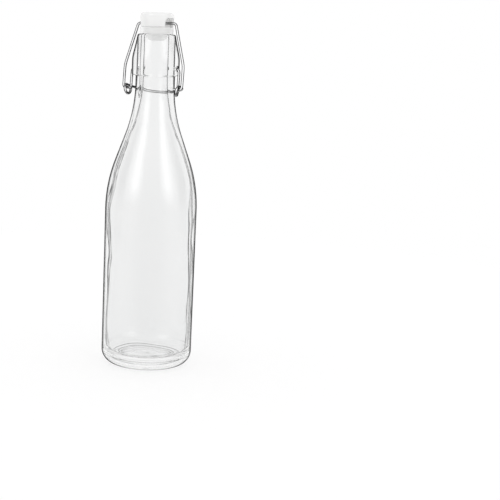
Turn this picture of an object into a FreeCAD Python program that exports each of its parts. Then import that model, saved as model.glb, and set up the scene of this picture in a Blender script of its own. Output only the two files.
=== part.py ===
"""Swing top bottle: a glass bottle closed by a plastic stopper on a wire bail and lever.

Millimetres. The origin is the centre of the base on the surface that the bottle stands on,
+Z points up along the bottle's axis, and the lever turns about the X direction.
The lever's bar lies behind the neck, on the +Y side.
"""
import FreeCAD, Part
import math
import os
import Sketcher

Vector = FreeCAD.Vector

doc = FreeCAD.newDocument("swing_top_bottle")
sheet = doc.addObject("Spreadsheet::Sheet", "Sizes")

SIZES = [
    ("body_radius", 35.1, "outside of the straight glass wall"),
    ("wall", 2.8, "glass in the body and the shoulder"),
    ("heel_rounding", 10.0, "outside edge of the base"),
    ("bearing_width", 4.2, "flat ring that the bottle stands on"),
    ("push_up", 3.0, "height of the hollow under the base"),
    ("push_up_flat", 12.0, "radius of the flat middle of that hollow"),
    ("push_up_rounding", 18.0, "edge of that flat middle"),
    ("base_glass", 4.9, "glass over the hollow, in the middle of the base"),
    ("floor_crown", 1.4, "rise of the inside floor to its middle"),
    ("floor_rounding", 9.0, "inside edge of the floor"),
    ("shoulder_height", 140.1, "base up to where the wall and the shoulder cone would meet"),
    ("shoulder_rounding", 110.0, "curve from the wall into the shoulder"),
    ("shoulder_rise", 55.7, "height of the shoulder cone"),
    ("neck_rounding", 110.0, "curve from the shoulder into the neck"),
    ("neck_radius", 14.8, "outside of the neck"),
    ("neck_length", 26.1, "shoulder cone up to the underside of the head"),
    ("bore_radius", 9.4, "inside of the neck"),
    ("bore_rounding", 100.0, "curve from the inside of the shoulder into the bore"),
    ("head_length", 30.3, "underside of the thick head up to the lip"),
    ("head_step", 3.1, "head wider than the neck, on the radius"),
    ("head_edge_rounding", 1.0, "edges of the step under the head"),
    ("head_straight", 13.1, "straight part of the head"),
    ("head_rounding", 26.0, "curve from that straight part towards the lip"),
    ("collar_drop", 7.7, "lip down to the foot of the collar"),
    ("collar_flare", 1.6, "foot of the collar wider than the lip, on the radius"),
    ("collar_rounding", 12.0, "curve from the collar into the head"),
    ("lip_wall", 4.7, "glass from the bore to the outside of the lip"),
    ("lip_rounding", 1.5, "outside edge of the lip"),
    ("mouth_rounding", 0.6, "inside edge of the lip"),
    ("pivot_rise", 5.4, "underside of the head up to the dimples that carry the lever"),
    ("dimple_depth", 5.5, "outside of the head to the bottom of each dimple"),
    ("recess_depth", 1.9, "outside of the head to the floor of the recess round each dimple"),
    ("recess_radius", 2.3, "recess round each dimple"),
    ("wire_diameter", 2.0, "steel wire of the bail and the lever"),
    ("pin_clearance", 0.1, "radial room of a wire in its hole"),
    ("pin_end_gap", 0.4, "wire end to the bottom of its dimple"),
    ("arm_clearance", 0.35, "head to the arms of the lever"),
    ("arm_bend", 3.0, "bend from the dimple into the arm, on the middle of the wire"),
    ("arm_length", 16.5, "pivot to the middle of the eye, along the arm"),
    ("arm_tilt", 6.0, "degrees that the closed lever leans forward"),
    ("eye_radius", 3.35, "middle of the wire in the eyes of the lever"),
    ("eye_gap", 0.25, "room between the two wires that cross at an eye"),
    ("bar_slope", 6.0, "degrees that the bar drops from square to the arms"),
    ("bar_clearance", 0.5, "rear of the neck to the bar"),
    ("bar_leg", 2.0, "straight start of the bar at each eye"),
    ("bar_corner_turn", 60.0, "degrees turned by each corner of the bar"),
    ("leg_clearance", 0.25, "eye to the leg of the bail"),
    ("leg_bend", 2.3, "bend from the leg of the bail into the eye"),
    ("eye_slack", 0.35, "room over the end of the bail in the eye"),
    ("end_length", 1.2, "end of the bail past the inside of the eye"),
    ("kink_height", 17.2, "eye up to the kink in the leg of the bail"),
    ("kink_rounding", 22.0, "curve of the kink"),
    ("top_reach", 2.65, "cap to the top corner of the bail"),
    ("top_bend", 2.6, "bend at the top corner of the bail"),
    ("hole_rise", 3.0, "underside of the cap up to the cross-hole"),
    ("cap_inset", 1.6, "lip wider than the cap, on the radius"),
    ("cap_height", 10.5, "cap over the gasket"),
    ("cap_top_rounding", 2.2, "top edge of the cap"),
    ("cap_bottom_rounding", 0.8, "bottom edge of the cap"),
    ("web_half", 7.0, "bottle axis to the wall at the back of each wire notch"),
    ("notch_half_width", 7.5, "half the width of each wire notch"),
    ("notch_rise", 3.6, "cross-hole up to the top of the notch"),
    ("notch_rounding", 2.7, "upper corners of the notch"),
    ("gasket_proud", 0.1, "gasket wider than the cap, on the radius"),
    ("gasket_thickness", 5.0, "gasket between the cap and the lip"),
    ("gasket_rounding", 1.0, "outside edges of the gasket"),
    ("gasket_room", 0.05, "radial room between the gasket and the stem"),
    ("stem_step", 1.9, "plug wider than the stem inside the gasket, on the radius"),
    ("plug_clearance", 1.5, "radial room of the plug in the bore"),
    ("plug_depth", 5.8, "plug below the lip"),
    ("plug_rounding", 3.0, "lower edge of the plug"),
    ("plug_wall", 1.6, "wall of the stem round its hollow"),
    ("hollow_depth", 6.0, "depth of the hollow under the plug"),
]
for row, (alias, size, meaning) in enumerate(SIZES, start=1):
    sheet.set(f"A{row}", alias)
    sheet.set(f"B{row}", str(size))
    sheet.setAlias(f"B{row}", alias)
    sheet.set(f"C{row}", meaning)
doc.recompute()


def value(expression):
    """Number that an expression on the sheet's sizes gives now."""
    return float(sheet.evalExpression(expression))


# Heights and radii that several pieces share, worked out from the sizes.
SHOULDER_SLOPE = "((Sizes.body_radius - Sizes.neck_radius) / Sizes.shoulder_rise)"
SHOULDER_ANGLE = f"atan({SHOULDER_SLOPE})"
NECK_Z = "(Sizes.shoulder_height + Sizes.shoulder_rise)"
HEAD_Z = f"({NECK_Z} + Sizes.neck_length)"
LIP_Z = f"({HEAD_Z} + Sizes.head_length)"
PIVOT_Z = f"({HEAD_Z} + Sizes.pivot_rise)"
HOLE_Z = f"({LIP_Z} + Sizes.gasket_thickness + Sizes.hole_rise)"
HEAD_RADIUS = "(Sizes.neck_radius + Sizes.head_step)"
LIP_RADIUS = "(Sizes.bore_radius + Sizes.lip_wall)"
CAP_RADIUS = f"({LIP_RADIUS} - Sizes.cap_inset)"
GASKET_RADIUS = f"({CAP_RADIUS} + Sizes.gasket_proud)"
PLUG_RADIUS = "(Sizes.bore_radius - Sizes.plug_clearance)"
STEM_RADIUS = f"({PLUG_RADIUS} - Sizes.stem_step)"
HOLE_RADIUS = "(Sizes.wire_diameter / 2 + Sizes.pin_clearance)"
ARM_X = f"({HEAD_RADIUS} + Sizes.arm_clearance + Sizes.wire_diameter / 2)"
EYE_X = f"({ARM_X} + Sizes.wire_diameter + Sizes.eye_gap)"
LEG_X = f"({EYE_X} + Sizes.wire_diameter + Sizes.leg_clearance)"
EYE_Y = "(-Sizes.eye_radius * cos(Sizes.arm_tilt) - Sizes.arm_length * sin(Sizes.arm_tilt))"
EYE_Z = f"({PIVOT_Z} - Sizes.arm_length * cos(Sizes.arm_tilt) + Sizes.eye_radius * sin(Sizes.arm_tilt))"
BAIL_Z = f"({EYE_Z} + Sizes.eye_radius - Sizes.wire_diameter - Sizes.eye_slack)"
BAIL_LENGTH = f"sqrt(({HOLE_Z} - {BAIL_Z})^2 + {EYE_Y}^2)"
BAIL_LEAN = f"atan({EYE_Y} / ({HOLE_Z} - {BAIL_Z}))"


def origin_plane(body, role):
    """One of a body's own reference planes."""
    return next(feature for feature in body.Origin.OriginFeatures if feature.Role == role)


def new_body(name):
    """Body whose name is also its label."""
    body = doc.addObject("PartDesign::Body", name)
    body.Label = name
    return body


def new_sketch(body, name, role, offset=None):
    """Sketch on a reference plane of its body, moved along the plane's normal by an expression."""
    sketch = body.newObject("Sketcher::SketchObject", name)
    sketch.AttachmentSupport = [(origin_plane(body, role), "")]
    sketch.MapMode = "FlatFace"
    if offset:
        sketch.setExpression("AttachmentOffset.Base.z", offset)
    return sketch


def pin_point(sketch, geometry, end, across, up):
    """Hold one point of a sketch at two expressions, or on an axis where one is zero."""
    for axis, kind, expression in ((-2, "DistanceX", across), (-1, "DistanceY", up)):
        if expression == "0":
            sketch.addConstraint(Sketcher.Constraint("PointOnObject", geometry, end, axis))
            continue
        number = sketch.addConstraint(
            Sketcher.Constraint(kind, -1, 1, geometry, end, value(expression)))
        sketch.setExpression(f"Constraints[{number}]", expression)


def rounded_outline(sketch, corners, closed):
    """Straight lines through the corners, with an arc at each corner that has a rounding.

    A corner is (across, up, rounding): expressions, with None for a sharp corner.
    """
    start, end = 1, 2
    places = [Vector(value(across), value(up), 0) for across, up, _ in corners]
    roundings = [value(rounding) if rounding else 0.0 for _, _, rounding in corners]
    count = len(corners)
    sides = count if closed else count - 1

    def cut(index, towards):
        """Point where the arc at a corner leaves the side that runs towards another corner."""
        if not roundings[index]:
            return places[index]
        before = (places[index - 1] - places[index]).normalize()
        after = (places[(index + 1) % count] - places[index]).normalize()
        length = roundings[index] / math.tan(before.getAngle(after) / 2)
        return places[index] + (places[towards] - places[index]).normalize() * length

    lines = []
    for side in range(sides):
        following = (side + 1) % count
        segment = Part.LineSegment(cut(side, following), cut(following, side))
        lines.append(sketch.addGeometry(segment, False))
    for index, (across, up, rounding) in enumerate(corners):
        joins = closed or 0 < index < count - 1
        before = lines[index - 1] if joins or index else None
        after = lines[index] if index < sides else None
        if not rounding:
            line, tip = (after, start) if after is not None else (before, end)
            pin_point(sketch, line, tip, across, up)
            if joins:
                sketch.addConstraint(Sketcher.Constraint("Coincident", before, end, after, start))
            continue
        first = cut(index, (index - 1) % count)
        last = cut(index, (index + 1) % count)
        corner = places[index]
        middle = (first + last) / 2
        half_chord = (last - first).Length / 2
        reach = roundings[index] - math.sqrt(max(roundings[index] ** 2 - half_chord ** 2, 0.0))
        crown = middle + (corner - middle).normalize() * reach
        arc = Part.Arc(first, crown, last)
        turned_left = (corner - first).cross(last - corner).z > 0
        geometry = sketch.addGeometry(arc, False)
        arc_first, arc_last = (start, end) if turned_left else (end, start)
        point = sketch.addGeometry(Part.Point(corner), True)
        pin_point(sketch, point, start, across, up)
        sketch.addConstraint(Sketcher.Constraint("PointOnObject", point, start, before))
        sketch.addConstraint(Sketcher.Constraint("PointOnObject", point, start, after))
        sketch.addConstraint(Sketcher.Constraint("Tangent", before, end, geometry, arc_first))
        sketch.addConstraint(Sketcher.Constraint("Tangent", after, start, geometry, arc_last))
        number = sketch.addConstraint(Sketcher.Constraint("Radius", geometry, roundings[index]))
        sketch.setExpression(f"Constraints[{number}]", rounding)


def round_hole_sketch(body, name, up, radius, offset=None):
    """Circle on the plane square to X, centred over the axis at a height."""
    sketch = new_sketch(body, name, "YZ_Plane", offset)
    circle = Part.Circle(Vector(0, value(up), 0), Vector(0, 0, 1), value(radius))
    geometry = sketch.addGeometry(circle, False)
    pin_point(sketch, geometry, 3, "0", up)
    number = sketch.addConstraint(Sketcher.Constraint("Radius", geometry, value(radius)))
    sketch.setExpression(f"Constraints[{number}]", radius)
    return sketch


def turn(body, name, corners):
    """Solid of a half outline turned once round the axis."""
    sketch = new_sketch(body, f"{name}_outline", "XZ_Plane")
    rounded_outline(sketch, corners, closed=True)
    solid = body.newObject("PartDesign::Revolution", name)
    solid.Profile = sketch
    solid.ReferenceAxis = (sketch, ["V_Axis"])
    solid.Angle = 360.0
    doc.recompute()
    return solid


def cut_outwards(body, name, sketch):
    """Pocket from the sketch towards +X and its mirror image towards -X."""
    before = body.Shape.Volume
    pocket = body.newObject("PartDesign::Pocket", name)
    pocket.Profile = sketch
    pocket.Type = "ThroughAll"
    pocket.Reversed = True
    doc.recompute()
    mirror = body.newObject("PartDesign::Mirrored", f"{name}_mirror")
    mirror.Originals = [pocket]
    mirror.MirrorPlane = (origin_plane(body, "YZ_Plane"), [""])
    body.Tip = mirror
    doc.recompute()
    print(name, "takes away", round(before - body.Shape.Volume, 2), "cubic mm")


def make_bottle():
    """One piece of glass: base, body, shoulder, neck and the thick head with its dimples."""
    body = new_body("bottle")
    inner_radius = "(Sizes.body_radius - Sizes.wall)"
    inner_shoulder_z = f"(Sizes.shoulder_height - Sizes.wall * tan({SHOULDER_ANGLE} / 2))"
    inner_cone = f"(Sizes.body_radius - Sizes.wall / cos({SHOULDER_ANGLE}))"
    bore_z = f"(Sizes.shoulder_height + ({inner_cone} - Sizes.bore_radius) / {SHOULDER_SLOPE})"
    bearing_inner = "(Sizes.body_radius - Sizes.heel_rounding - Sizes.bearing_width)"
    floor_middle = "(Sizes.push_up + Sizes.base_glass)"
    turn(body, "glass", [
        ("0", "Sizes.push_up", None),
        ("Sizes.push_up_flat", "Sizes.push_up", "Sizes.push_up_rounding"),
        (bearing_inner, "0", None),
        ("Sizes.body_radius", "0", "Sizes.heel_rounding"),
        ("Sizes.body_radius", "Sizes.shoulder_height", "Sizes.shoulder_rounding"),
        ("Sizes.neck_radius", NECK_Z, "Sizes.neck_rounding"),
        ("Sizes.neck_radius", HEAD_Z, "Sizes.head_edge_rounding"),
        (HEAD_RADIUS, HEAD_Z, "Sizes.head_edge_rounding"),
        (HEAD_RADIUS, f"({HEAD_Z} + Sizes.head_straight)", "Sizes.head_rounding"),
        (f"({LIP_RADIUS} + Sizes.collar_flare)", f"({LIP_Z} - Sizes.collar_drop)", "Sizes.collar_rounding"),
        (LIP_RADIUS, LIP_Z, "Sizes.lip_rounding"),
        ("Sizes.bore_radius", LIP_Z, "Sizes.mouth_rounding"),
        ("Sizes.bore_radius", bore_z, "Sizes.bore_rounding"),
        (inner_radius, inner_shoulder_z, "(Sizes.shoulder_rounding - Sizes.wall)"),
        (inner_radius, f"({floor_middle} - Sizes.floor_crown)", "Sizes.floor_rounding"),
        ("0", floor_middle, None),
    ])
    cut_outwards(body, "recess", round_hole_sketch(
        body, "recess_outline", PIVOT_Z, "Sizes.recess_radius", f"{HEAD_RADIUS} - Sizes.recess_depth"))
    cut_outwards(body, "dimple", round_hole_sketch(
        body, "dimple_outline", PIVOT_Z, HOLE_RADIUS, f"{HEAD_RADIUS} - Sizes.dimple_depth"))
    return body


def make_stopper():
    """White plastic cap with a stem and a plug, drawn from the bottom of the plug."""
    body = new_body("stopper")
    hollow_radius = f"({STEM_RADIUS} - Sizes.plug_wall)"
    cap_bottom = "(Sizes.plug_depth + Sizes.gasket_thickness)"
    cap_top = f"({cap_bottom} + Sizes.cap_height)"
    hole_up = f"({cap_bottom} + Sizes.hole_rise)"
    turn(body, "moulding", [
        ("0", "Sizes.hollow_depth", None),
        (hollow_radius, "Sizes.hollow_depth", None),
        (hollow_radius, "0", None),
        (PLUG_RADIUS, "0", "Sizes.plug_rounding"),
        (PLUG_RADIUS, "Sizes.plug_depth", None),
        (STEM_RADIUS, "Sizes.plug_depth", None),
        (STEM_RADIUS, cap_bottom, None),
        (CAP_RADIUS, cap_bottom, "Sizes.cap_bottom_rounding"),
        (CAP_RADIUS, cap_top, "Sizes.cap_top_rounding"),
        ("0", cap_top, None),
    ])
    notch = new_sketch(body, "notch_outline", "YZ_Plane", "Sizes.web_half")
    notch_top = f"({hole_up} + Sizes.notch_rise)"
    rounded_outline(notch, [
        ("-Sizes.notch_half_width", cap_bottom, None),
        ("Sizes.notch_half_width", cap_bottom, None),
        ("Sizes.notch_half_width", notch_top, "Sizes.notch_rounding"),
        ("-Sizes.notch_half_width", notch_top, "Sizes.notch_rounding"),
    ], closed=True)
    cut_outwards(body, "notch", notch)
    cut_outwards(body, "cross_hole", round_hole_sketch(body, "cross_hole_outline", hole_up, HOLE_RADIUS))
    body.setExpression("Placement.Base.z", f"{LIP_Z} - Sizes.plug_depth")
    return body


def make_gasket():
    """Soft ring that fills the gap between the cap and the lip."""
    body = new_body("gasket")
    inside = f"({STEM_RADIUS} + Sizes.gasket_room)"
    turn(body, "ring", [
        (inside, "0", None),
        (GASKET_RADIUS, "0", "Sizes.gasket_rounding"),
        (GASKET_RADIUS, "Sizes.gasket_thickness", "Sizes.gasket_rounding"),
        (inside, "Sizes.gasket_thickness", None),
    ])
    body.setExpression("Placement.Base.z", LIP_Z)
    return body


def make_bail():
    """Upper wire, drawn flat with the hinge in the eyes at the bottom and the cross-hole at the top."""
    body = new_body("bail")
    end_x = f"({ARM_X} - Sizes.wire_diameter / 2 - Sizes.end_length)"
    spine = new_sketch(body, "bail_line", "XZ_Plane")
    rounded_outline(spine, [
        ("0", BAIL_LENGTH, None),
        (f"({CAP_RADIUS} + Sizes.top_reach)", BAIL_LENGTH, "Sizes.top_bend"),
        (LEG_X, "Sizes.kink_height", "Sizes.kink_rounding"),
        (LEG_X, "0", "Sizes.leg_bend"),
        (end_x, "0", None),
    ], closed=False)
    section = round_hole_sketch(body, "bail_section", BAIL_LENGTH, "Sizes.wire_diameter / 2")
    doc.recompute()
    wire = body.newObject("PartDesign::AdditivePipe", "bail_half")
    wire.Profile = section
    wire.Spine = (spine, [f"Edge{number + 1}" for number in range(len(spine.Shape.Edges))])
    doc.recompute()
    mirror = body.newObject("PartDesign::Mirrored", "bail_mirror")
    mirror.Originals = [wire]
    mirror.MirrorPlane = (origin_plane(body, "YZ_Plane"), [""])
    body.Tip = mirror
    lean = FreeCAD.Rotation(Vector(1, 0, 0), value(BAIL_LEAN))
    body.Placement = FreeCAD.Placement(Vector(0, value(EYE_Y), value(BAIL_Z)), lean)
    body.setExpression("Placement.Base.y", EYE_Y)
    body.setExpression("Placement.Base.z", BAIL_Z)
    body.setExpression("Placement.Rotation.Angle", BAIL_LEAN)
    return body


def arc_edge(start, knee, end):
    """Arc that leaves start towards knee and reaches end from knee, with knee as far from both."""
    chord = end - start
    weight = math.cos(chord.getAngle(knee - start))
    crown = (start + knee * (2 * weight) + end) / (2 + 2 * weight)
    return Part.Arc(start, crown, end).toShape()


def biarc_edges(start, heading, end, last_heading):
    """Two arcs that join two points of a line in space and keep its headings."""
    span = end - start
    both = heading + last_heading
    spread = 2 * (1 - heading.dot(last_heading))
    drift = span.dot(both)
    reach = (math.sqrt(drift ** 2 + spread * span.dot(span)) - drift) / spread
    first_knee = start + heading * reach
    last_knee = end - last_heading * reach
    middle = (first_knee + last_knee) / 2
    return [arc_edge(start, first_knee, middle), arc_edge(middle, last_knee, end)]


def lever_half():
    """Edges of the lever's middle line on the +X side, from the dimple to the middle of the bar.

    The pivot is at the origin and the arm points straight down.
    """
    wire = value("Sizes.wire_diameter")
    arm_x = value(ARM_X)
    eye_x = value(EYE_X)
    bend = value("Sizes.arm_bend")
    eye = value("Sizes.eye_radius")
    arm = value("Sizes.arm_length")
    tilt = math.radians(value("Sizes.arm_tilt"))
    slope = math.radians(value("Sizes.bar_slope"))
    tip = Vector(value(f"{HEAD_RADIUS} - Sizes.dimple_depth + Sizes.pin_end_gap"), 0, 0)
    bend_start = Vector(arm_x - bend, 0, 0)
    bend_end = Vector(arm_x, 0, -bend)
    eye_start = Vector(arm_x, 0, -arm)
    edges = [
        Part.LineSegment(tip, bend_start).toShape(),
        arc_edge(bend_start, Vector(arm_x, 0, 0), bend_end),
        Part.LineSegment(bend_end, eye_start).toShape(),
    ]

    # The eye: the wire turns forward, up and back across the arm, and moves outwards on its way.
    whole_turn = 3 * math.pi / 2 + slope

    def eye_place(turned):
        share = turned / whole_turn
        outwards = (eye_x - arm_x) * share ** 2 * (3 - 2 * share)
        return Vector(arm_x + outwards, eye * (math.cos(turned) - 1), -arm - eye * math.sin(turned))

    def eye_heading(turned):
        share = turned / whole_turn
        outwards = (eye_x - arm_x) * 6 * share * (1 - share) / whole_turn
        return Vector(outwards, -eye * math.sin(turned), -eye * math.cos(turned)).normalize()

    stops = [0, math.pi / 2, math.pi, whole_turn]
    for before, after in zip(stops, stops[1:]):
        edges += biarc_edges(eye_place(before), eye_heading(before), eye_place(after), eye_heading(after))

    # The bar: straight back, round a corner and across, in one plane that slopes to the rear.
    back = Vector(0, math.cos(slope), -math.sin(slope))
    inwards = Vector(-1, 0, 0)
    leave = eye_place(whole_turn)
    leave_y = leave.y * math.cos(tilt) + leave.z * math.sin(tilt)
    bar_y = value("Sizes.neck_radius + Sizes.bar_clearance") + wire / 2
    depth = (bar_y - leave_y) / math.cos(slope + tilt) - value("Sizes.bar_leg")
    turned = math.radians(value("Sizes.bar_corner_turn"))
    sine, cosine = math.sin(turned), math.cos(turned)
    # Corner and middle radii, from the half width and the depth that the two arcs cover together.
    share = (1 - cosine) * (1 - sine) - sine * cosine
    corner_radius = (eye_x * (1 - sine) - depth * cosine) / share
    middle_radius = (depth * (1 - cosine) - eye_x * sine) / share
    print("bar corner radius", round(corner_radius, 2), "middle radius", round(middle_radius, 2))
    leg_end = leave + back * value("Sizes.bar_leg")
    turn_heading = back * cosine + inwards * sine
    corner_end = leg_end + inwards * (corner_radius * (1 - cosine)) + back * (corner_radius * sine)
    corner_knee = leg_end + back * (corner_radius * math.tan(turned / 2))
    rest = math.pi / 2 - turned
    middle = corner_end + inwards * (middle_radius * cosine) + back * (middle_radius * (1 - sine))
    middle_knee = corner_end + turn_heading * (middle_radius * math.tan(rest / 2))
    edges += [
        Part.LineSegment(leave, leg_end).toShape(),
        arc_edge(leg_end, corner_knee, corner_end),
        arc_edge(corner_end, middle_knee, middle),
    ]
    return edges


def make_lever():
    """Lower wire: a pin in each dimple, two arms, two eyes and the bar behind the neck."""
    right = lever_half()
    left = [edge.mirror(Vector(0, 0, 0), Vector(1, 0, 0)) for edge in reversed(right)]
    line = Part.Wire(right + left)
    tip = right[0].Vertexes[0].Point
    section = Part.Wire(Part.Circle(tip, Vector(1, 0, 0), value("Sizes.wire_diameter / 2")).toShape())
    shape = line.makePipeShell([section], True, False)
    lever = doc.addObject("Part::Feature", "lever")
    lever.Label = "lever"
    lever.Shape = shape
    tilt = FreeCAD.Rotation(Vector(1, 0, 0), -value("Sizes.arm_tilt"))
    lever.Placement = FreeCAD.Placement(Vector(0, 0, value(PIVOT_Z)), tilt)
    area = math.pi * value("Sizes.wire_diameter / 2") ** 2
    print("lever volume", round(shape.Volume, 2), "wire length times section", round(line.Length * area, 2))
    return lever


pieces = [make_bottle(), make_stopper(), make_gasket(), make_bail(), make_lever()]
doc.recompute()

for item in doc.Objects:
    if "Invalid" in item.State or "Error" in item.State:
        raise RuntimeError(f"{item.Label} failed: {item.State}")
for piece in pieces:
    if piece.Shape.isNull() or not piece.Shape.isValid() or len(piece.Shape.Solids) != 1:
        raise RuntimeError(f"{piece.Label} is not one valid solid")

os.makedirs("parts", exist_ok=True)
for piece in pieces:
    piece.Shape.exportStep(f"parts/{piece.Label}.step")
    box = piece.Shape.BoundBox
    print(piece.Label, "volume", round(piece.Shape.Volume, 1), "from",
          [round(low, 2) for low in (box.XMin, box.YMin, box.ZMin)], "to",
          [round(high, 2) for high in (box.XMax, box.YMax, box.ZMax)])
for name, expression in (("pivot height", PIVOT_Z), ("bail hinge y", EYE_Y), ("bail hinge height", BAIL_Z),
                         ("cross-hole height", HOLE_Z), ("lip height", LIP_Z), ("bail length", BAIL_LENGTH)):
    print(name, round(value(expression), 4))
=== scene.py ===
# %% [markdown]
# # A swing top bottle
# This lesson dresses a finished CAD model of a clear glass bottle with a swing top. The CAD part gives the
# place and the motion of each piece. Here the glass is modelled afresh, because its looks come from a
# smooth skin and a slightly uneven inside, and the plastic, the seal and the steel wire get their finishes.

# %% Load the CAD frame
import math

import bmesh
import bpy
from mathutils import Matrix, Vector


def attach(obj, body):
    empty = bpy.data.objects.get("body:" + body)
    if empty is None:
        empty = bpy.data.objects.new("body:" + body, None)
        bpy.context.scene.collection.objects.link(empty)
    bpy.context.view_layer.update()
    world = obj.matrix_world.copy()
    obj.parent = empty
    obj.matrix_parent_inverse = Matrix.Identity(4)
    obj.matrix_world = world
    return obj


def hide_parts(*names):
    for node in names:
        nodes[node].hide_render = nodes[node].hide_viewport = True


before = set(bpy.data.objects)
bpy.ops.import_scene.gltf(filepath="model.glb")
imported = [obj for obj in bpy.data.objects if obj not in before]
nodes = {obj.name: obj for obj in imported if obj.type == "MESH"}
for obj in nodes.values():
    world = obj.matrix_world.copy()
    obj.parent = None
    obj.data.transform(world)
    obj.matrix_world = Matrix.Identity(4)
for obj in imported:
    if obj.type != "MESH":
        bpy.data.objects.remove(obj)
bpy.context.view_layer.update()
bpy.context.scene.view_settings.view_transform = "Standard"
MM = 0.001

# %% [markdown]
# ## The camera
# The photograph looks slightly down at the bottle from its front right, with the camera at the height of
# the head. A camera could be aimed by a constraint, but then its small roll would be lost. So its three
# axes are written out: it looks at the bottle's axis, and the lens is shifted sideways because the bottle
# stands left of the middle.

# %% Camera
VIEW_TURN = math.radians(24.0)
VIEW_DISTANCE = 0.800
VIEW_HEIGHT = 0.2389
VIEW_DROP = math.radians(10.638)
VIEW_ROLL = math.radians(1.936)
IMAGE_WIDTH = 500
FOCAL_PIXELS = 1053.1
SENSOR_WIDTH = 36.0
LENS_SHIFT = 0.201

to_side = Vector((math.cos(VIEW_TURN), math.sin(VIEW_TURN), 0))
to_back = Vector((-math.sin(VIEW_TURN), math.cos(VIEW_TURN), 0))
look = to_back * math.cos(VIEW_DROP) - Vector((0, 0, math.sin(VIEW_DROP)))
level_up = to_side.cross(look)
right = to_side * math.cos(VIEW_ROLL) + level_up * math.sin(VIEW_ROLL)
up = level_up * math.cos(VIEW_ROLL) - to_side * math.sin(VIEW_ROLL)
view_place = to_back * -VIEW_DISTANCE + Vector((0, 0, VIEW_HEIGHT))

bpy.ops.object.select_all(action="DESELECT")
bpy.ops.object.camera_add()
camera = bpy.context.object
camera.name = "camera"
camera.data.sensor_width = SENSOR_WIDTH
camera.data.lens = SENSOR_WIDTH * FOCAL_PIXELS / IMAGE_WIDTH
camera.data.shift_x = LENS_SHIFT
turn = Matrix((right, up, -look)).transposed().to_4x4()
camera.matrix_world = Matrix.Translation(view_place) @ turn
bpy.context.scene.camera = camera
print("lens", round(camera.data.lens, 2), "mm")

# %% [markdown]
# ## Writing finishes as sums
# A finish is a small net of nodes. Linking them one by one is long to read, so one class wraps a socket and
# lets Python's own operators add the Math nodes.

# %% Shader helper: sums
class Flow:
    """An output socket that Python's operators can reckon with."""

    def __init__(self, socket):
        self.socket = socket

    def reckon(self, operation, first, second):
        tree = self.socket.id_data
        node = tree.nodes.new("ShaderNodeMath")
        node.operation = operation
        for place, given in zip(node.inputs, (first, second)):
            if isinstance(given, Flow):
                tree.links.new(given.socket, place)
            else:
                place.default_value = given
        return Flow(node.outputs[0])

    def __add__(self, other):
        return self.reckon("ADD", self, other)

    def __sub__(self, other):
        return self.reckon("SUBTRACT", self, other)

    def __rsub__(self, other):
        return self.reckon("SUBTRACT", other, self)

    def __mul__(self, other):
        return self.reckon("MULTIPLY", self, other)

    def __gt__(self, other):
        return self.reckon("GREATER_THAN", self, other)

    __radd__ = __add__
    __rmul__ = __mul__


print("helper", Flow.__name__, "is ready")

# %% [markdown]
# A second class holds the net of one finish. Its one method `node` makes any node from its type, its
# settings and its inputs. The short methods after it are what several finishes ask for: the place on a
# piece, how far the skin turns away from the eye or lies flat, a noise, and soft steps.

# %% Shader helper: nets
class Finish:
    """The node net of a material or of the world."""

    def __init__(self, owner):
        owner.use_nodes = True
        self.tree = owner.node_tree
        self.tree.nodes.clear()

    def node(self, kind, settings=None, inputs=None, output=0):
        node = self.tree.nodes.new(kind)
        for name, setting in (settings or {}).items():
            setattr(node, name, setting)
        for name, given in (inputs or {}).items():
            if isinstance(given, Flow):
                self.tree.links.new(given.socket, node.inputs[name])
            else:
                node.inputs[name].default_value = given
        return Flow(node.outputs[output]) if node.outputs else None

    def spot(self):
        """The place on the piece, in metres."""
        return self.node("ShaderNodeTexCoord", output="Object")

    def axis(self, vector, letter):
        """One of the three values of a vector."""
        return self.node("ShaderNodeSeparateXYZ", None, {0: vector}, letter)

    def facing(self):
        """0 where the skin faces the eye and 1 where it turns away."""
        return self.node("ShaderNodeLayerWeight", None, {"Blend": 0.5}, "Facing")

    def level(self):
        """1 where the skin lies flat and 0 where it stands upright."""
        normal = self.node("ShaderNodeNewGeometry", output="Normal")
        return self.node("ShaderNodeMath", {"operation": "ABSOLUTE"}, {0: self.axis(normal, "Z")})

    def noise(self, vector, scale, detail):
        """A soft random pattern, about 0.5 on the whole."""
        return self.node("ShaderNodeTexNoise", None, {"Vector": vector, "Scale": scale, "Detail": detail})

    def ray(self, fact):
        """What the light path knows of the ray that has come here."""
        return self.node("ShaderNodeLightPath", output=fact)

    def between(self, share, first, second):
        """Mix of two colours by a share from 0 to 1."""
        return self.node("ShaderNodeMix", {"data_type": "RGBA"}, {0: share, 6: first, 7: second}, 2)

    def blend(self, share, first, second):
        """Mix of two shaders by a share from 0 to 1."""
        return self.node("ShaderNodeMixShader", None, {0: share, 1: first, 2: second})

    def rise(self, value, start, end):
        """0 at the start and 1 at the end, with soft ends."""
        return self.node("ShaderNodeMapRange", {"interpolation_type": "SMOOTHSTEP"}, {
            "Value": value, "From Min": start, "From Max": end})

    def band(self, value, start, full, fade, end):
        """1 between full and fade, falling to 0 at start and end."""
        return self.rise(value, start, full) * (1 - self.rise(value, fade, end))

    # Painted dark: a dark diffuse mixed in where the studio's dark gaps would be seen.
    def painted_dark(self):
        """Painted dark, standing for the studio's gaps, for painted edges and lines."""
        return self.node("ShaderNodeBsdfDiffuse", None, {"Color": grey(0.02)})

    def surface(self, shader):
        """Make a shader the result of a material's net."""
        self.node("ShaderNodeOutputMaterial", None, {"Surface": shader})


def grey(value):
    """A colour without hue."""
    return (value, value, value, 1)


def new_finish(name):
    """A new material and its empty net."""
    material = bpy.data.materials.new(name)
    return material, Finish(material)


def dress(piece, material):
    """Give a piece one finish all over."""
    piece.data.materials.clear()
    piece.data.materials.append(material)


print("helper", Finish.__name__, "is ready")

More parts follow.
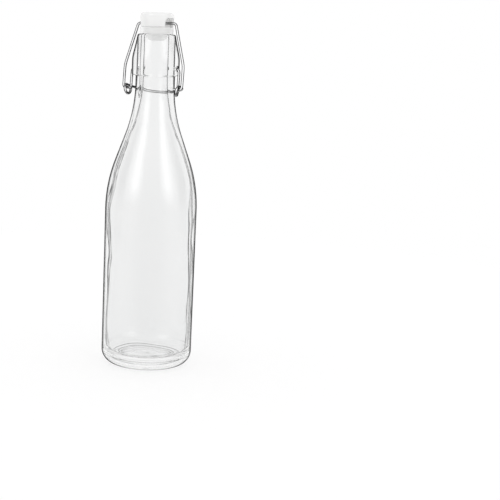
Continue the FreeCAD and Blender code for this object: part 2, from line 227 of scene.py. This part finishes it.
# %% [markdown]
# ## The glass
# The bottle is one blown piece: a thick pushed-up base, a straight body, a long shoulder and a heavy head.
# A lathe form like this could be a curve with a Screw modifier. Here the outline is drawn as on paper
# instead, straight runs by extruding a point and roundings by spinning it about their own centres, and then
# the whole line is spun about the axis. That keeps every rounding a true arc, which clear glass shows at
# once.

# %% Sizes of the glass
# Radii and heights in millimetres.
BODY, WALL, NECK, BORE, HEAD, LIP_EDGE = 35.1, 2.8, 14.8, 9.4, 17.9, 14.1
SHOULDER_Z, NECK_Z, HEAD_Z, BULGE_Z, LIP_Z, PIVOT_Z = 140.1, 195.8, 221.9, 235.0, 252.2, 227.3
RING_IN, RING_OUT, PUSH_UP, PUSH_UP_Z, PUSH_UP_EDGE = 21.8, 24.2, 12.0, 3.0, 20.9
FLOOR_EDGE_Z, FLOOR_Z = 6.5, 7.9
HEEL_ROUND, INNER_HEEL_ROUND, SHOULDER_ROUND, INNER_NECK_ROUND = 10.0, 9.0, 110.0, 100.0
HEAD_EDGE_ROUND = 1.0
FINE, STEP, LONG = 2, 3, 4
slope = (BODY - NECK) / (NECK_Z - SHOULDER_Z)
lean = math.atan(slope)
inner_shoulder_z = SHOULDER_Z - WALL * math.tan(lean / 2)
bore_z = SHOULDER_Z + (BODY - WALL / math.cos(lean) - BORE) / slope
# Each corner: radius, height, rounding, and the longest step on the way to it.
OUTSIDE = [
    (0, PUSH_UP_Z, 0, STEP),
    (PUSH_UP, PUSH_UP_Z, 18.0, STEP),
    (PUSH_UP_EDGE, 0, 0, STEP),
    (RING_IN, 0, 0, STEP),
    (RING_OUT, 0, 0, STEP),
    (BODY, 0, HEEL_ROUND, STEP),
    (BODY, SHOULDER_Z, SHOULDER_ROUND, LONG),
    (NECK, NECK_Z, SHOULDER_ROUND, LONG),
    (NECK, HEAD_Z, HEAD_EDGE_ROUND, STEP),
    (HEAD, HEAD_Z, HEAD_EDGE_ROUND, STEP),
    (HEAD, BULGE_Z, 26.0, STEP),
    (LIP_EDGE + 1.6, LIP_Z - 7.7, 12.0, STEP),
    (LIP_EDGE, LIP_Z, 1.5, STEP),
]
INSIDE = [
    (BORE, LIP_Z, 0.6, STEP),
    (BORE, bore_z, INNER_NECK_ROUND, STEP),
    (BODY - WALL, inner_shoulder_z, SHOULDER_ROUND - WALL, STEP),
    (BODY - WALL, FLOOR_EDGE_Z, INNER_HEEL_ROUND, STEP),
    (0, FLOOR_Z, 0, FINE),
]
print("corners", len(OUTSIDE), "outside and", len(INSIDE), "inside, bore down to", round(bore_z, 1), "mm")

# %% [markdown]
# The pen is one point. A straight run is extruded in equal steps, because long thin faces would spoil the
# shading of the skin, and each corner is turned by a spin about the centre of its rounding. A bevel could
# round the corners too, but not each by its own measure in one go.

# %% Outline of the glass
ARC_STEP = math.radians(3)


def extrude_to(target, step):
    """Extrude the selected point in equal steps to a place."""
    mesh = bmesh.from_edit_mesh(bpy.context.object.data)
    here = next(point.co.copy() for point in mesh.verts if point.select)
    run = target - here
    parts = max(1, math.ceil(run.length / step))
    for _ in range(parts):
        bpy.ops.mesh.extrude_vertices_move(TRANSFORM_OT_translate={"value": run / parts})


def draw_outline(corners):
    """Draw straight runs and true arcs in the XZ plane, from the selected point."""
    places = [Vector((across * MM, 0, high * MM)) for across, high, _, _ in corners]
    for index, (_, _, rounding, step) in enumerate(corners):
        here = places[index]
        if not rounding:
            if index:
                extrude_to(here, step * MM)
            continue
        arrive = (here - places[index - 1]).normalized()
        leave = (places[index + 1] - here).normalized()
        angle = arrive.angle(leave)
        extrude_to(here - arrive * rounding * MM * math.tan(angle / 2), step * MM)
        centre = here + (leave - arrive).normalized() * (rounding * MM / math.cos(angle / 2))
        steps = max(3, math.ceil(angle / ARC_STEP), math.ceil(angle * rounding / step))
        bpy.ops.mesh.spin(steps=steps, angle=angle, center=centre, axis=leave.cross(arrive))


bpy.ops.object.select_all(action="DESELECT")
bpy.ops.mesh.primitive_plane_add(size=MM)
glass = bpy.context.object
glass.name = "bottle_glass"
bpy.ops.object.mode_set(mode="EDIT")
bpy.ops.mesh.merge(type="CENTER")
bpy.ops.transform.translate(value=(0, 0, PUSH_UP_Z * MM))
draw_outline(OUTSIDE + INSIDE)
outline = bmesh.from_edit_mesh(glass.data)
last = next(point.co for point in outline.verts if point.select)
print("outline ends", [round(c / MM, 3) for c in last], "points", len(outline.verts))

# %% [markdown]
# The inside of a blown bottle is never quite even: the mould shapes only the outside. The points of the
# inner wall could be picked out later, but then there are thousands. So they are put in a group now, while
# they are still one line, and the spin copies the group all the way round.

# %% Group of the inner wall
UNEVEN_FROM_Z, UNEVEN_TO_Z, SKIN_DEPTH = 14, 196, 1.8
bpy.ops.mesh.select_all(action="DESELECT")
outline = bmesh.from_edit_mesh(glass.data)
for point in outline.verts:
    across, high = point.co.x / MM, point.co.z / MM
    skin = BODY if high < SHOULDER_Z else max(NECK, BODY - slope * (high - SHOULDER_Z))
    point.select = UNEVEN_FROM_Z < high < UNEVEN_TO_Z and across < skin - SKIN_DEPTH
outline.select_flush_mode()
bmesh.update_edit_mesh(glass.data)
bpy.ops.object.vertex_group_assign_new()
glass.vertex_groups[-1].name = "inner_wall"
print("inner wall points", glass.data.total_vert_sel)

# %% [markdown]
# One spin right round the axis turns the line into a bottle. Two hundred steps keep the silhouette smooth,
# and an even number lets the ticks under the base take every second face. Where the spin comes back to its
# start the points are doubled, so they are merged before the normals are turned outwards.

# %% Spin the outline into the bottle
ROUND_STEPS = 200
MERGE_DISTANCE = 0.002
bpy.ops.mesh.select_all(action="SELECT")
bpy.ops.mesh.spin(steps=ROUND_STEPS, angle=2 * math.pi, center=(0, 0, 0), axis=(0, 0, 1))
bpy.ops.mesh.select_all(action="SELECT")
bpy.ops.mesh.remove_doubles(threshold=MERGE_DISTANCE * MM)
bpy.ops.mesh.normals_make_consistent(inside=False)
print("bottle faces", len(bmesh.from_edit_mesh(glass.data).faces))

# %% [markdown]
# The bottle stands on a ring of short radial ticks, which keep the hot glass off the conveyor. They could
# be a bump in the finish, but the ring is seen from below and through the base, so every second face of the
# bearing ring is inset and pushed up a quarter of a millimetre. The ridges that stay are still the lowest
# points.

# %% Ticks on the bearing ring
TICK_MARGIN, TICK_DEPTH, FLAT_Z = 0.12, 0.25, 0.01


def select_faces(piece, wanted):
    """Select, in edit mode, just the faces that pass a test."""
    bpy.ops.mesh.select_all(action="DESELECT")
    bpy.context.tool_settings.mesh_select_mode = (False, False, True)
    mesh = bmesh.from_edit_mesh(piece.data)
    for face in mesh.faces:
        face.select = wanted(face)
    bmesh.update_edit_mesh(piece.data)


def leave_edit_mode():
    """Go back to points as what is selected, and to object mode."""
    bpy.context.tool_settings.mesh_select_mode = (True, False, False)
    bpy.ops.object.mode_set(mode="OBJECT")


def is_tick(face):
    """True for every second face of the bearing ring."""
    place = face.calc_center_median()
    span = math.hypot(place.x, place.y) / MM
    turn_index = round(math.atan2(place.y, place.x) / (2 * math.pi) * ROUND_STEPS - 0.5)
    return place.z < FLAT_Z * MM and RING_IN < span < RING_OUT and turn_index % 2 == 0


select_faces(glass, is_tick)
bpy.ops.mesh.inset(thickness=TICK_MARGIN * MM, use_individual=True)
bpy.ops.transform.translate(value=(0, 0, TICK_DEPTH * MM))
leave_edit_mode()
print("ticks", sum(face.select for face in glass.data.polygons))

# %% [markdown]
# Now the group of the inner wall is used. A Displace modifier moves just those points, less than a
# millimetre either way, by a slow cloud pattern. Sculpting could do it too, but the pattern gives the same
# wall each time that the lesson is run.

# %% Uneven inner wall
CLOUD_SIZE = 0.045
UNEVENNESS = 1.5
clouds = bpy.data.textures.new("slow_clouds", "CLOUDS")
clouds.noise_scale = CLOUD_SIZE
clouds.noise_depth = 1
uneven = glass.modifiers.new("uneven", "DISPLACE")
uneven.texture = clouds
uneven.texture_coords = "LOCAL"
uneven.vertex_group = "inner_wall"
uneven.strength = UNEVENNESS * MM
uneven.mid_level = 0.5
bpy.ops.object.modifier_apply(modifier="uneven")
print("inner wall moved by up to", UNEVENNESS / 2, "mm either way")

# %% [markdown]
# Each side of the head has a shallow round recess with a blind dimple in it, where the lever's end turns.
# On a finished skin a Boolean is the plainest way to sink it. The cutter is a cylinder whose inner end is
# inset and extruded into the narrow pin of the dimple, and a second one is turned half round for the other
# side.

# %% Cutters for the recesses and dimples
RECESS_X, RECESS_RADIUS, DIMPLE_X, DIMPLE_RADIUS = 16.0, 2.3, 12.4, 1.1
CUTTER_LENGTH, CUTTER_SIDES, INWARD = 8, 64, -0.9
bpy.ops.object.select_all(action="DESELECT")
bpy.ops.mesh.primitive_cylinder_add(
    vertices=CUTTER_SIDES, radius=RECESS_RADIUS * MM, depth=CUTTER_LENGTH * MM,
    location=((RECESS_X + CUTTER_LENGTH / 2) * MM, 0, PIVOT_Z * MM), rotation=(0, math.pi / 2, 0))
cutter = bpy.context.object
cutter.name = "recess_cutter"
bpy.ops.object.transform_apply(location=True, rotation=True, scale=True)
bpy.ops.object.mode_set(mode="EDIT")
select_faces(cutter, lambda face: face.normal.x < INWARD)
bpy.ops.mesh.inset(thickness=(RECESS_RADIUS - DIMPLE_RADIUS) * MM)
bpy.ops.mesh.extrude_region_move(TRANSFORM_OT_translate={"value": ((DIMPLE_X - RECESS_X) * MM, 0, 0)})
leave_edit_mode()
bpy.ops.object.duplicate()
other = bpy.context.object
other.rotation_euler.z = math.pi
bpy.ops.object.transform_apply(location=True, rotation=True, scale=True)
print("cutters", cutter.name, "and", other.name)

# %% [markdown]
# The two cutters are taken from the glass one after the other and then thrown away. The exact solver is
# slower than the fast one, but it leaves a clean closed skin, which glass needs because every face bends
# the light. The bottle then rides on its CAD body and takes the place of the plain CAD glass.

# %% Recesses and dimples in the head
SMOOTH_BELOW = math.radians(40)
for tool in (cutter, other):
    bpy.ops.object.select_all(action="DESELECT")
    bpy.context.view_layer.objects.active = glass
    sink = glass.modifiers.new("recess", "BOOLEAN")
    sink.object = tool
    sink.operation = "DIFFERENCE"
    sink.solver = "EXACT"
    bpy.ops.object.modifier_apply(modifier="recess")
    bpy.data.objects.remove(tool)
glass.select_set(True)
bpy.ops.object.shade_smooth_by_angle(angle=SMOOTH_BELOW)
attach(glass, "bottle")
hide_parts("bottle")
print("bottle glass", len(glass.data.polygons), "faces")

# %% [markdown]
# Clear glass on a white ground is drawn by its edges alone: there it is seen at a flat angle and shows the
# dark sides of the studio. One way is to stand dark cards beside the bottle, but then every view would need
# its own. Layer Weight gives the same line from any side, so the finish paints that line instead: a dark
# skin is mixed in where the outer wall turns away, so the studio's dark sides are painted in. The bore of
# the thick head gets that painted line too, because there the inner wall shows its own edge.

# %% Glass: painted dark outline where the wall turns away
UPRIGHT = (0.95, 0.78)
NECK_START = (0.185, 0.205)
EDGE = (0.66, 0.82)
NECK_EDGE_MORE = 0.09
EDGE_LEAST, EDGE_STREAK = 0.65, 0.5
glass_look, net = new_finish("clear_glass")
spot, facing, level = net.spot(), net.facing(), net.level()
height = net.axis(spot, "Z")
inside = net.node("ShaderNodeNewGeometry", output="Backfacing")
wall = net.rise(level, *UPRIGHT)
neck = net.rise(height, *NECK_START)
edge = net.rise(facing + NECK_EDGE_MORE * neck, *EDGE)
streaks = net.noise(spot, scale=14.0, detail=1.0)
skin_share = wall * (1 - inside * (1 - neck))
# Painted dark outline: the studio's dark sides, painted where the glass turns away, varied by noise.
painted_outline_share = edge * (EDGE_LEAST + EDGE_STREAK * streaks) * skin_share
print("outline of the glass", len(net.tree.nodes), "nodes")

# %% [markdown]
# Two fainter sets of painted dark lines make the glass look blown and pressed. The first are painted
# creases, which run down the sides where the uneven inner wall bends the light most. Here and there they
# break off, and fine upright cords in the glass make them paler or darker. To model them would take a very
# fine mesh, so they are painted as dark lines into the same dark share.

# %% Glass: painted creases of bent light
PAINTED_CREASE = (0.202, 0.209, 0.215, 0.222)
UNBROKEN = (0.36, 0.46)
CREASE_WANDER = 0.08
CORD = (0.42, 0.58)
CORD_LEAST, CORD_MORE = 0.3, 0.6
CORD_STRETCH = (1, 1, 0.1)
ABOVE_HEEL = (0.012, 0.024)
drawn = net.noise(spot, scale=24.0, detail=1.0)
upward_run = net.node("ShaderNodeVectorMath", {"operation": "MULTIPLY"}, {0: spot, 1: CORD_STRETCH})
cords = net.noise(upward_run, scale=400.0, detail=1.0)
# Painted dark lines of bent light, where the inner wall is seen at one slant.
painted_crease = net.band(facing + CREASE_WANDER * (drawn - 0.5), *PAINTED_CREASE) * net.rise(drawn, *UNBROKEN)
cord_share = CORD_LEAST + CORD_MORE * net.rise(cords, *CORD)
painted_crease_share = painted_crease * cord_share * inside * wall * (1 - neck) * net.rise(height, *ABOVE_HEEL)
print("creases of the glass", len(net.tree.nodes), "nodes")

# %% [markdown]
# The second are painted dark rings on the base, where the mould's bottom plate, its rim and the bearing
# ring met the hot glass. They could be cut as grooves, but at this depth they would only show as lines, so
# the dark of their bent light is painted too.

# %% Glass: painted dark rings on the base
RINGS = ((0.0193, 0.6), (0.0218, 1.0), (0.0260, 0.8))
RING_HALF, RING_CORE, RING_PAINTED_DARKNESS = 0.0005, 0.0001, 0.9
FLAT_SKIN = (0.6, 0.9)
BASE_ONLY = (0.012, 0.009)
east, north = net.axis(spot, "X"), net.axis(spot, "Y")
span = net.node("ShaderNodeMath", {"operation": "SQRT"}, {0: east * east + north * north})
# Painted dark rings, standing for the light bent at the mould's rings on the base.
rings = sum(
    depth * net.band(span, place - RING_HALF, place - RING_CORE, place + RING_CORE, place + RING_HALF)
    for place, depth in RINGS)
painted_ring_share = RING_PAINTED_DARKNESS * rings * net.rise(level, *FLAT_SKIN) * net.rise(height, *BASE_ONLY)
print("base rings", len(RINGS))

# %% [markdown]
# The glass itself is the Principled shader with full transmission. Its tint is a little darker towards the
# bottom, and it is painted darker face on, as a shade down the middle, and at the flanks low down, as a
# shade where the eye looks along the wall. Shadow rays pass as through a clear pane, so the shadow on the
# table is pale. So do rays that have already met six surfaces: in the thick base they would bounce on until
# they are given up as black, while real ones find their way out to the white studio.

# %% Glass: tint, painted shade and clear passage
FACE_ON = (0.12, 0.0)
FLANK = (0.2, 0.5)
DARKER_FROM, DARKEST_AT = 0.20, 0.02
LOW_TINT, FRONT_PAINTED_SHADE, FLANK_PAINTED_SHADE = 0.65, 0.35, 0.5
THIN_GLASS, DARKER_GLASS = (0.955, 0.957, 0.957, 1), (0.895, 0.898, 0.898, 1)
GLASS_IOR = 1.52
MOST_SURFACES = 5.5
# Painted shade: the tint darkens face on, down the middle, and at the low flanks; lower down it darkens
# too.
painted_front_shade = net.rise(facing, *FACE_ON)
low = net.node("ShaderNodeMapRange", None, {
    "Value": height, "From Min": DARKER_FROM, "From Max": DARKEST_AT})
painted_flank_shade = net.rise(facing, *FLANK) * low * (1 - inside)
tint_and_painted_shade = LOW_TINT * low + FRONT_PAINTED_SHADE * painted_front_shade + FLANK_PAINTED_SHADE * painted_flank_shade
tint_with_painted_shade = net.between(tint_and_painted_shade, THIN_GLASS, DARKER_GLASS)
clear = net.node("ShaderNodeBsdfPrincipled", None, {
    "Base Color": tint_with_painted_shade, "Roughness": 0.0, "IOR": GLASS_IOR, "Transmission Weight": 1.0})
lined = net.blend(painted_outline_share + painted_crease_share + painted_ring_share, clear, net.painted_dark())
pane = net.node("ShaderNodeBsdfTransparent", None, {"Color": grey(0.93)})
unbent = net.ray("Is Shadow Ray") + net.ray("Is Diffuse Ray")
deep = net.ray("Ray Depth") > MOST_SURFACES
passing = net.node("ShaderNodeMath", {"operation": "MAXIMUM"}, {0: unbent, 1: deep})
net.surface(net.blend(passing, lined, pane))
dress(glass, glass_look)
print("glass finish", len(net.tree.nodes), "nodes")

# %% [markdown]
# ## The stopper
# The cap and its plug are one moulding of white plastic. Its CAD shape is right, so it only needs a finish.
# A plain white would look like paper: moulded plastic lets light in a little way, has a faint mottle from
# the flow of the melt, and carries the fine grain of the mould's steel in its gloss.

# %% White plastic
WHITE_PLASTIC, GREYER_PLASTIC = (0.88, 0.88, 0.875, 1), (0.84, 0.84, 0.835, 1)
white_look, net = new_finish("white_plastic")
spot = net.spot()
mottle = net.noise(spot, scale=160.0, detail=3.0)
grain = net.noise(spot, scale=2400.0, detail=2.0)
bump = net.node("ShaderNodeBump", None, {"Strength": 0.05, "Distance": 0.0002, "Height": grain})
plastic = net.node("ShaderNodeBsdfPrincipled", None, {
    "Base Color": net.between(mottle, WHITE_PLASTIC, GREYER_PLASTIC),
    "Roughness": 0.18 + 0.12 * mottle, "Normal": bump, "Subsurface Weight": 0.5,
    "Subsurface Radius": (1, 1, 1), "Subsurface Scale": 0.004})
net.surface(plastic)
dress(nodes["stopper"], white_look)
print("stopper dressed in", white_look.name)

# %% [markdown]
# ## The seal
# The ring under the cap is soft and milky, so it looks greyer face on and almost white at its sides, where
# more of the studio shines through. True transmission would be noisy in so small a piece. Light scattered
# under the skin and a painted paler rim, painted light standing for the studio shining through, give the
# same look with a plain shader.

# %% Milky seal
MILKY, GREYER_MILKY = (0.80, 0.80, 0.795, 1), (0.74, 0.74, 0.735, 1)
PAINTED_LIGHT_RIM = (0.2, 0.6)
seal_look, net = new_finish("seal_rubber")
mottle = net.noise(net.spot(), scale=220.0, detail=3.0)
milky = net.between(mottle, MILKY, GREYER_MILKY)
# Painted light: the colour turns near white where the seal turns away from the eye.
rubber = net.node("ShaderNodeBsdfPrincipled", None, {
    "Base Color": net.between(net.rise(net.facing(), *PAINTED_LIGHT_RIM), milky, grey(0.95)),
    "Roughness": 0.3 + 0.15 * mottle, "Subsurface Weight": 0.5, "Subsurface Radius": (1, 1, 1),
    "Subsurface Scale": 0.003})
net.surface(rubber)
dress(nodes["gasket"], seal_look)
print("gasket dressed in", seal_look.name)

# %% [markdown]
# ## The wires
# The bail and the lever are bright drawn wire. Chrome in a white studio shows white along its middle and
# the dark gaps of the studio along its edges, and that pair of dark lines is what makes thin wire readable
# on a white ground. Dark cards would do it for one view. So that it holds from any side, the dark lines are
# painted: a dark skin is mixed in where the wire turns away, a painted reflection of the studio's gaps, and
# less of it where the wire faces up or down, because the table and the roof of the tent are white. The fine
# noise in the roughness is the mark of drawing the wire through its die.

# %% Bright wire
BRIGHT_STEEL = (0.90, 0.90, 0.905, 1)
WIRE_EDGE = (0.02, 0.17)
UP_OR_DOWN, UP_OR_DOWN_LESS = (0.3, 0.75), 0.35
steel_look, net = new_finish("wire_steel")
die_marks = net.noise(net.spot(), scale=900.0, detail=2.0)
bright = net.node("ShaderNodeBsdfPrincipled", None, {
    "Base Color": BRIGHT_STEEL, "Metallic": 1.0, "Roughness": 0.1 + 0.1 * die_marks})
less = UP_OR_DOWN_LESS * net.rise(net.level(), *UP_OR_DOWN)
# Painted reflection: dark edges standing for the studio's gaps, weaker where the wire faces up or down.
painted_dark_edge = net.rise(net.facing(), *WIRE_EDGE) * (1 - less)
net.surface(net.blend(painted_dark_edge, bright, net.painted_dark()))
for wire in ("bail", "lever"):
    dress(nodes[wire], steel_look)
print("bail and lever dressed in", steel_look.name)

# %% [markdown]
# ## The table
# The photograph has a white ground with no edge. A round pale table keeps the bottle's soft shadow. Part of
# its white is matt, so that the shadow shows, and the rest is its own glow, so that it comes out as white
# as the wall behind without more light on the bottle. Glass and chrome see it as plain white.

# %% Table
TABLE_RADIUS, TABLE_CORNERS = 0.6, 128
MATT_SHARE, GLOW_SHARE = 0.60, 0.41
WHITE = grey(1)
bpy.ops.object.select_all(action="DESELECT")
bpy.ops.mesh.primitive_circle_add(vertices=TABLE_CORNERS, radius=TABLE_RADIUS, fill_type="NGON")
floor = bpy.context.object
floor.name = "table"
floor_look, net = new_finish("pale_table")
matt = net.node("ShaderNodeBsdfDiffuse", None, {"Color": grey(MATT_SHARE)})
glow = net.node("ShaderNodeEmission", None, {"Color": WHITE, "Strength": GLOW_SHARE})
ground = net.node("ShaderNodeAddShader", None, {0: matt, 1: glow})
white = net.node("ShaderNodeEmission", None, {"Color": WHITE, "Strength": 1.0})
seen_through = net.ray("Is Transmission Ray") + net.ray("Is Glossy Ray")
net.surface(net.blend(seen_through, ground, white))
dress(floor, floor_look)
print("table across", round(2 * max(corner.co.x for corner in floor.data.vertices), 2), "m")

# %% [markdown]
# ## The studio
# A white tent lights the bottle evenly from all round, so the world is white. A mirror needs something to
# mirror, though: rays that have bounced off a shiny skin see two soft boxes ahead on the left and right,
# and a dark gap beside each. They are written into the world as bands of bearing and height instead of
# lamps, so the matt pieces keep their plain light.

# %% Studio
SOFTBOX_BEARING, SOFTBOX_HEIGHT = (0.35, 0.8, 0.8, 1.25), (-0.1, 0.3, 0.6, 0.8)
GAP_BEARING, GAP_HEIGHT = (1.25, 1.4, 1.7, 1.9), (-0.3, 0.2, 2.0, 3.0)
TENT_LIGHT, GAP_DEPTH, SOFTBOX_LIGHT = 0.95, 0.85, 1.8
world = bpy.context.scene.world or bpy.data.worlds.new("studio")
bpy.context.scene.world = world
net = Finish(world)
bounced = net.ray("Glossy Depth") > 0.5
way = net.node("ShaderNodeTexCoord", output="Generated")
across = net.node("ShaderNodeVectorMath", {"operation": "DOT_PRODUCT"}, {0: way, 1: to_side}, "Value")
along = net.node("ShaderNodeVectorMath", {"operation": "DOT_PRODUCT"}, {0: way, 1: to_back}, "Value")
upward = net.axis(way, "Z")
bearing = net.node("ShaderNodeMath", {"operation": "ARCTAN2"}, {0: across, 1: 0 - along})
off = net.node("ShaderNodeMath", {"operation": "ABSOLUTE"}, {0: bearing})
softboxes = net.band(off, *SOFTBOX_BEARING) * net.band(upward, *SOFTBOX_HEIGHT)
gaps = net.band(off, *GAP_BEARING) * net.band(upward, *GAP_HEIGHT)
studio = TENT_LIGHT - GAP_DEPTH * gaps + SOFTBOX_LIGHT * softboxes
tent = net.node("ShaderNodeBackground", None, {
    "Color": WHITE, "Strength": bounced * studio + (1 - bounced)})
net.node("ShaderNodeOutputWorld", None, {"Surface": tent})
print("studio", len(net.tree.nodes), "nodes")
